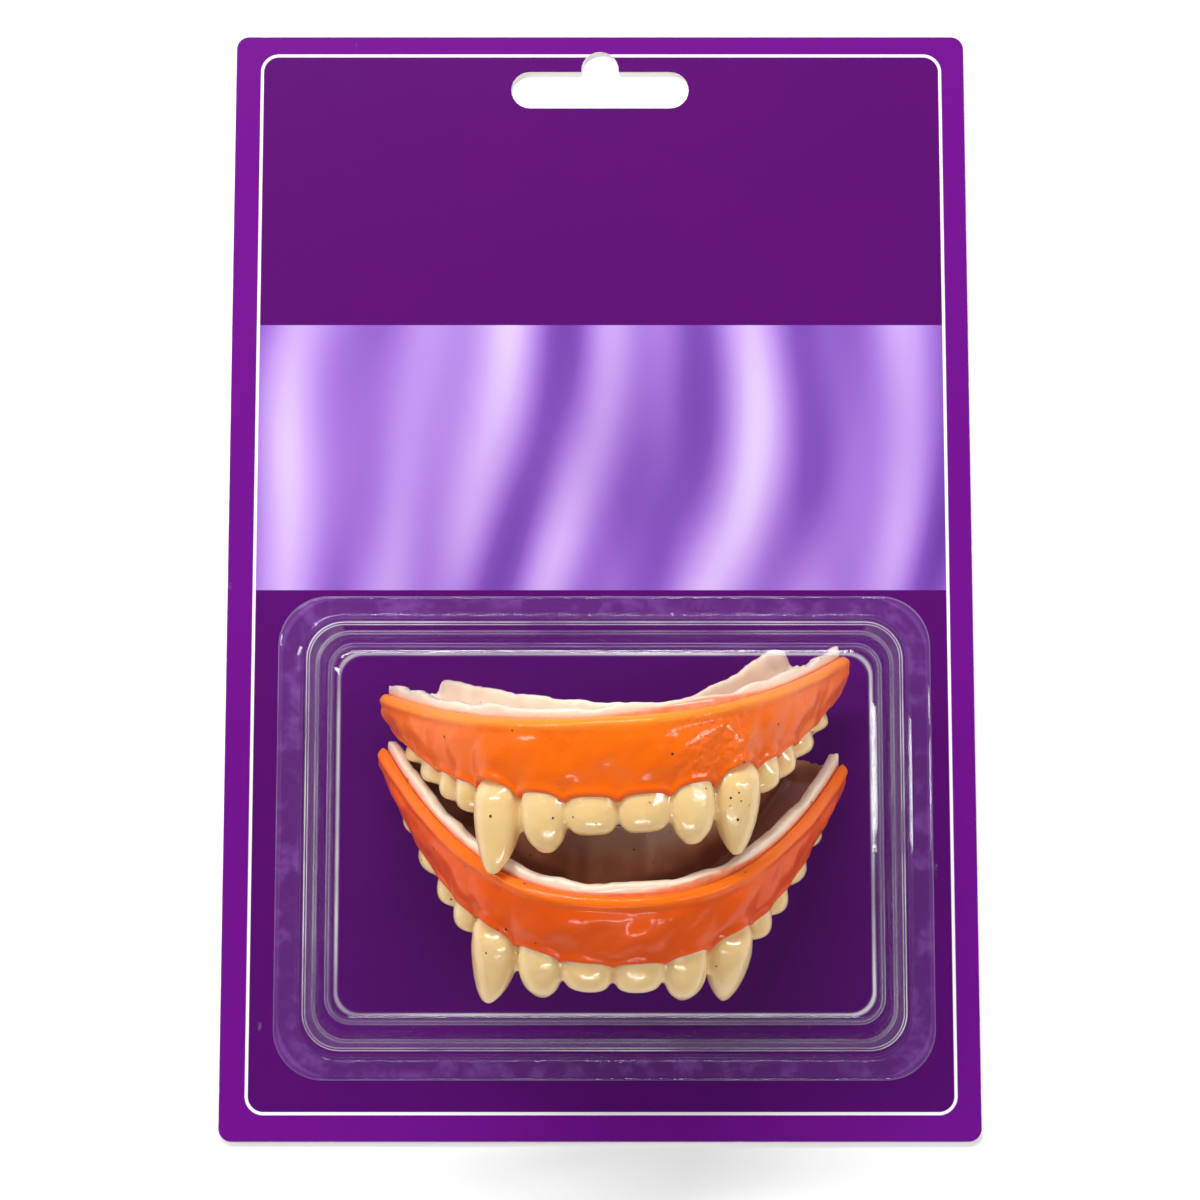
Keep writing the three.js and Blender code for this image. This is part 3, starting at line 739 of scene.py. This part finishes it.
def grown_from(name, base, tree, inputs):
    """The plain mesh that a geometry tree makes from a base mesh with these inputs."""
    carrier = bpy.data.objects.new(name, base)
    bpy.context.scene.collection.objects.link(carrier)
    modifier = carrier.modifiers.new(name, "NODES")
    modifier.node_group = tree
    sockets = {item.name: item.identifier for item in tree.interface.items_tree if item.in_out == "INPUT"}
    for label, value in inputs.items():
        modifier[sockets[label]] = value
    evaluated = carrier.evaluated_get(bpy.context.evaluated_depsgraph_get())
    mesh = bpy.data.meshes.new_from_object(evaluated)
    mesh.name = name
    bpy.data.objects.remove(carrier)
    return mesh


def grit():
    material, place = new_finish("grit")
    tone = place.grain(2, 1).tint(colour(50, 22, 8), colour(104, 50, 20))
    close_finish(place, Base_Color=tone, Roughness=place.grain(1, 1) * 0.3 + 0.5, Specular_IOR_Level=0.15)
    return material


grit_finish = grit()
strewing = speck_tree()
for side, specks in SPECKS.items():
    ground = bmesh.new()
    for name in (f"{side}_gum_wall", f"{side}_moulding"):
        ground.from_mesh(bpy.data.objects[name].data)
    ground_mesh = bpy.data.meshes.new(f"{side}_ground")
    ground.to_mesh(ground_mesh)
    ground.free()
    ground_mesh.transform(Matrix.Scale(1 / MM, 4))
    fang_low, fang_high = (np.array(corner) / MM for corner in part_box(f"{side}_fang_right"))
    spot = (fang_low + fang_high) / 2 + np.array([0, 0, (fang_high - fang_low)[2] / 2])
    speck_sizes = {
        "Density": specks["density"], "Least": SPECK_LEAST, "Most": SPECK_MOST, "Flat": SPECK_FLAT,
        "Spot Reach": SPOT_REACH, "Spot Boost": specks["boost"], "Spot": spot.tolist(),
        "Seed": specks["seed"], "Material": grit_finish,
    }
    speck_mesh = grown_from(f"{side}_specks", ground_mesh, strewing, speck_sizes)
    speck_mesh.transform(Matrix.Scale(MM, 4))
    speck_mesh.shade_smooth()
    strewn_specks = bpy.data.objects.new(f"{side}_specks", speck_mesh)
    bpy.context.scene.collection.objects.link(strewn_specks)
    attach(strewn_specks, "root")


# Blister: one sheet of clear plastic, thermoformed over a stepped block and heat sealed to
# the card by its flange. The seal leaves a frosted, patchy band; the wall has a soft ridge
# at its foot, at the step and round the top. Painted highlight: a white shader is mixed in
# along each ridge and, fainter, round the flange's edge, as patchy bright lines.
FOOT_WIDE, FOOT_HIGH, FOOT_CORNER = 84.2, 60.6, 5.6
FLANGE_CORNER, TOP_CORNER = 7.0, 2.8
DRAFT, DRAFT_ALONG, FACE_DROP = 9.4, 8.3, 0.8
SHEET = 0.35
CARD_TOP = 0.7
RIDGE_ROUND, RIDGE_HIGHLIGHT_WIDE = 0.7, 0.16
EDGE_HIGHLIGHT = 0.3

# Steps of the wall from its foot: share of the draft inward, share of the height, and how strong the painted highlight
# along its ridge is
WALL_STEPS = np.array([
    (0.0, 0.03, 0.3), (0.2, 0.32, 1.0), (0.38, 0.36, 0.4), (0.84, 0.955, 0.5), (0.9, 0.99, 0.0), (1.0, 1.0, 0.45),
])
ROUND_STEPS = 6
CORNER_STEPS = 12
TOP_ROWS = 5

blister_low, blister_high = (np.array(corner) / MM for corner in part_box("blister"))
blister_middle = (blister_low + blister_high) / 2
flange_over = (blister_high - blister_low - np.array([FOOT_WIDE, FOOT_HIGH, 0])) / 2
flange_top = CARD_TOP + SHEET + 0.03


def eased(points, radius):
    """A polyline whose inner corners are rounded."""
    points = [np.array(point, float) for point in points]
    line = [points[0]]
    for before, corner, after in zip(points, points[1:], points[2:]):
        reach_in = min(radius, np.linalg.norm(corner - before) * 0.45)
        reach_out = min(radius, np.linalg.norm(after - corner) * 0.45)
        start = corner + (before - corner) / np.linalg.norm(before - corner) * reach_in
        end = corner + (after - corner) / np.linalg.norm(after - corner) * reach_out
        for t in np.linspace(0, 1, ROUND_STEPS):
            line.append((1 - t) ** 2 * start + 2 * t * (1 - t) * corner + t**2 * end)
    return line + [points[-1]]


def wall_profile():
    """Growth across and along from the foot's outline, and height, from the flange's edge to the top's middle."""
    deep = blister_high[2] - flange_top
    rows = [(flange_over[0], flange_over[1], -0.2), (flange_over[0] - 0.4, flange_over[1] - 0.4, 0), (0.5, 0.5, 0)]
    rows += [(-DRAFT * inward, -DRAFT_ALONG * inward, deep * up) for inward, up, bright in WALL_STEPS]
    line = eased(rows + [(-DRAFT - 6, -DRAFT_ALONG - 6, deep)], RIDGE_ROUND)
    shares = np.linspace(0, 1, TOP_ROWS)[1:]
    centre = np.array([-FOOT_WIDE / 2, -FOOT_HIGH / 2, deep - 0.25])
    line = np.array(line + [mix(line[-1], centre, share) for share in shares])
    # Painted highlight strength of each profile point, strongest on a ridge and fading off it; the flange's edge gets a
    # fainter one.
    off = np.linalg.norm(line[:, None] - np.array(rows[-len(WALL_STEPS):])[None], axis=2)
    ridge_highlights = (WALL_STEPS[:, 2] * np.exp(-(((off - off.min(0)) / RIDGE_HIGHLIGHT_WIDE) ** 2))).max(1)
    ridge_highlights[0] = EDGE_HIGHLIGHT
    return line, ridge_highlights


def wall_tree():
    """Sweeps a profile round a rounded rectangle whose corners tighten as it narrows."""
    tree = bpy.data.node_groups.new("blister_wall", "GeometryNodeTree")
    tree.interface.new_socket("Geometry", in_out="OUTPUT", socket_type="NodeSocketGeometry")
    tree.interface.new_socket("Geometry", in_out="INPUT", socket_type="NodeSocketGeometry")
    for name in (
        "Foot Width", "Foot Height", "Foot Corner", "Top Corner", "Flange Corner", "Draft", "Face Drop", "Corner Steps",
    ):
        tree.interface.new_socket(name, in_out="INPUT", socket_type="NodeSocketFloat")
    tree.interface.new_socket("Material", in_out="INPUT", socket_type="NodeSocketMaterial")
    start = Wire(tree)
    given = tree.nodes.new("NodeGroupInput")
    size = {socket.name: Wire(tree, socket) for socket in given.outputs}

    rows = start.node("GeometryNodeAttributeDomainSize", sockets={0: size["Geometry"]})
    round_count = size["Corner Steps"] * 4 + 4
    grid = start.node("GeometryNodeMeshGrid", sockets={"Vertices X": round_count + 1, "Vertices Y": rows})
    index = start.node("GeometryNodeInputIndex")
    step = (index / rows + 0.0001).math("FLOOR")
    row = index - step * rows
    corner_count = size["Corner Steps"] + 1
    quarter = ((step / corner_count + 0.0001).math("FLOOR")).math("MODULO", 4)
    turn = (step.math("MODULO", corner_count) / size["Corner Steps"] + quarter) * (math.pi / 2)
    middle_turn = (quarter + 0.5) * (math.pi / 2)

    place = start.node("GeometryNodeInputPosition")
    ridge = start.node("GeometryNodeInputNamedAttribute", {"data_type": "FLOAT"}, {"Name": "ridge"})
    grown = start.node(
        "GeometryNodeSampleIndex", {"data_type": "FLOAT_VECTOR"},
        {"Geometry": size["Geometry"], "Value": place, "Index": row},
    )
    wide = size["Foot Width"] / 2 + grown.axis(0)
    high = size["Foot Height"] / 2 + grown.axis(1)
    narrowed = (grown.axis(0) * -1 / size["Draft"]).math("MINIMUM", 1).math("MAXIMUM", 0)
    widened = (grown.axis(0) / 3).math("MINIMUM", 1).math("MAXIMUM", 0)
    corner = size["Foot Corner"] + narrowed * (size["Top Corner"] - size["Foot Corner"])
    corner = corner + widened * (size["Flange Corner"] - size["Foot Corner"])
    corner = corner.math("MINIMUM", wide).math("MINIMUM", high)
    x = middle_turn.math("COSINE").math("SIGN") * (wide - corner) + turn.math("COSINE") * corner
    y = middle_turn.math("SINE").math("SIGN") * (high - corner) + turn.math("SINE") * corner
    y = y - narrowed * size["Face Drop"]
    point = start.node("ShaderNodeCombineXYZ", sockets={0: x, 1: y, 2: grown.axis(2)})
    shell = start.node("GeometryNodeSetPosition", sockets={"Geometry": grid, "Position": point})
    # Carries the painted highlight strength onto the swept sheet as its ridge attribute.
    marked = start.node(
        "GeometryNodeStoreNamedAttribute", {"data_type": "FLOAT", "domain": "POINT"},
        {"Geometry": shell, "Name": "ridge", "Value": start.node(
            "GeometryNodeSampleIndex", {"data_type": "FLOAT"},
            {"Geometry": size["Geometry"], "Value": ridge, "Index": row},
        )},
    )
    closed = start.node("GeometryNodeMergeByDistance", sockets={"Geometry": marked, "Distance": 0.00001})
    real = start.node("GeometryNodeRealizeInstances", sockets={"Geometry": closed})
    coated = start.node("GeometryNodeSetMaterial", sockets={"Geometry": real, "Material": size["Material"]})
    tree.links.new(coated.socket, tree.nodes.new("NodeGroupOutput").inputs[0])
    return tree


def clear_sheet():
    material, place = new_finish("clear_sheet")
    x, y, z = (place.axis(n) for n in range(3))
    facing = place.node("ShaderNodeLayerWeight", sockets={"Blend": 0.5}, out="Facing")
    bend = (place.grain(16, 1) * 0.8 + place.grain(5, 1) * 0.1).relief(0.6, 0.5)
    gloss = facing.math("POWER", 5) * 0.13 + 0.022
    clear = place.node("ShaderNodeBsdfTransparent", sockets={"Color": (0.99, 0.985, 0.995, 1)})
    shine = place.node(
        "ShaderNodeBsdfPrincipled",
        sockets={"Base Color": (1, 1, 1, 1), "Metallic": 1.0, "Roughness": 0.05, "Normal": bend},
    )
    sheet = place.node("ShaderNodeMixShader", sockets={0: gloss, 1: clear, 2: shine})
    out_x = abs(x - blister_middle[0]) - FOOT_WIDE / 2
    out_y = abs(y - blister_middle[1]) - FOOT_HIGH / 2
    from_foot = out_x.past_corner(out_y, FOOT_CORNER)
    on_flange = (1 - z.over(flange_top + 0.2, flange_top + 0.7)) * from_foot.over(-0.4, 0.1)
    edge = from_foot.over(2.9, 3.3)
    patches = (place.grain(3, 5) + place.grain(0.8, 2) * 0.3).over(0.6, 0.9)
    frost_here = on_flange * (patches * 0.12 + 0.05 + edge * 0.08)
    frost = place.node(
        "ShaderNodeBsdfPrincipled", sockets={"Base Color": colour(176, 112, 220), "Roughness": 0.45},
    )
    sealed = place.node("ShaderNodeMixShader", sockets={0: frost_here, 1: sheet, 2: frost})
    # Painted highlight: a white shader mixed in along each ridge, patchy along its length.
    ridge = place.node("ShaderNodeAttribute", {"attribute_name": "ridge"}, out="Fac")
    painted_glint = place.node("ShaderNodeBsdfPrincipled", sockets={"Base Color": (1, 1, 1, 1), "Roughness": 0.25})
    painted_glint_strength = ridge * (place.grain(14, 2) * 1.3 - 0.2)
    bright = place.node("ShaderNodeMixShader", sockets={0: painted_glint_strength, 1: sealed, 2: painted_glint})
    place.node("ShaderNodeOutputMaterial", sockets={"Surface": bright})
    return material


sheet_finish = clear_sheet()
profile, ridge_highlights = wall_profile()
profile_mesh = mesh_of("wall_profile", profile, [])
profile_mesh.attributes.new("ridge", "FLOAT", "POINT").data.foreach_set("value", ridge_highlights.astype(np.float32))
wall_sizes = {
    "Foot Width": FOOT_WIDE, "Foot Height": FOOT_HIGH, "Foot Corner": FOOT_CORNER, "Top Corner": TOP_CORNER,
    "Flange Corner": FLANGE_CORNER, "Draft": DRAFT, "Face Drop": FACE_DROP, "Corner Steps": float(CORNER_STEPS), "Material": sheet_finish,
}
wall_mesh = grown_from("blister_shell", profile_mesh, wall_tree(), wall_sizes)
place = Matrix.Translation(Vector((blister_middle[0], blister_middle[1], flange_top)) * MM) @ Matrix.Scale(MM, 4)
wall_mesh.transform(place)
wall_mesh.shade_smooth()
shell = bpy.data.objects.new("blister_shell", wall_mesh)
bpy.context.scene.collection.objects.link(shell)
thick = shell.modifiers.new("sheet", "SOLIDIFY")
thick.thickness = SHEET * MM
thick.offset = -1
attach(shell, "root")
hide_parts("blister")


# Stage: a plain pale floor under the pack, soft studio boxes round it and a dim sky that
# brightens towards the horizon, so the varnish and the sheet stay clear from above.
FLOOR_HALF = 3.0
LAMPS = [
    dict(name="key", place=(-0.12, 0.42, 0.44), size=(0.6, 0.05), power=3.8),
    dict(name="left", place=(-0.44, 0.1, 0.4), size=(0.05, 0.4), power=1.3),
    dict(name="right", place=(0.46, 0.0, 0.36), size=(0.05, 0.4), power=1.3),
    dict(name="front", place=(0.0, -0.52, 0.4), size=(0.5, 0.05), power=1.2),
]

floor_mesh = mesh_of(
    "floor", np.array([(-1, -1, 0), (1, -1, 0), (1, 1, 0), (-1, 1, 0)]) * FLOOR_HALF, [(0, 1, 2, 3)],
)
floor = bpy.data.objects.new("floor", floor_mesh)
bpy.context.scene.collection.objects.link(floor)
floor_material, floor_place = new_finish("pale_floor")
close_finish(floor_place, Base_Color=(0.93, 0.93, 0.93, 1), Roughness=0.8)
floor_mesh.materials.append(floor_material)

for lamp in LAMPS:
    data = bpy.data.lights.new(lamp["name"], "AREA")
    data.shape = "RECTANGLE"
    data.size, data.size_y = lamp["size"]
    data.energy = lamp["power"]
    light = bpy.data.objects.new(lamp["name"], data)
    light.location = lamp["place"]
    light.rotation_euler = (AIM - Vector(lamp["place"])).to_track_quat("-Z", "Y").to_euler()
    bpy.context.scene.collection.objects.link(light)

world = bpy.data.worlds.new("studio")
world.use_nodes = True
world.node_tree.nodes.clear()
sky = Wire(world.node_tree)
climb = sky.node("ShaderNodeTexCoord", out="Generated").axis(2)
glow = (1 - climb.over(0.1, 0.75)) * 0.28 + 0.06
backdrop = sky.node("ShaderNodeBackground", sockets={"Color": (1, 1, 1, 1), "Strength": glow})
sky.node("ShaderNodeOutputWorld", sockets={"Surface": backdrop})
bpy.context.scene.world = world
bpy.context.scene.view_settings.view_transform = "Standard"
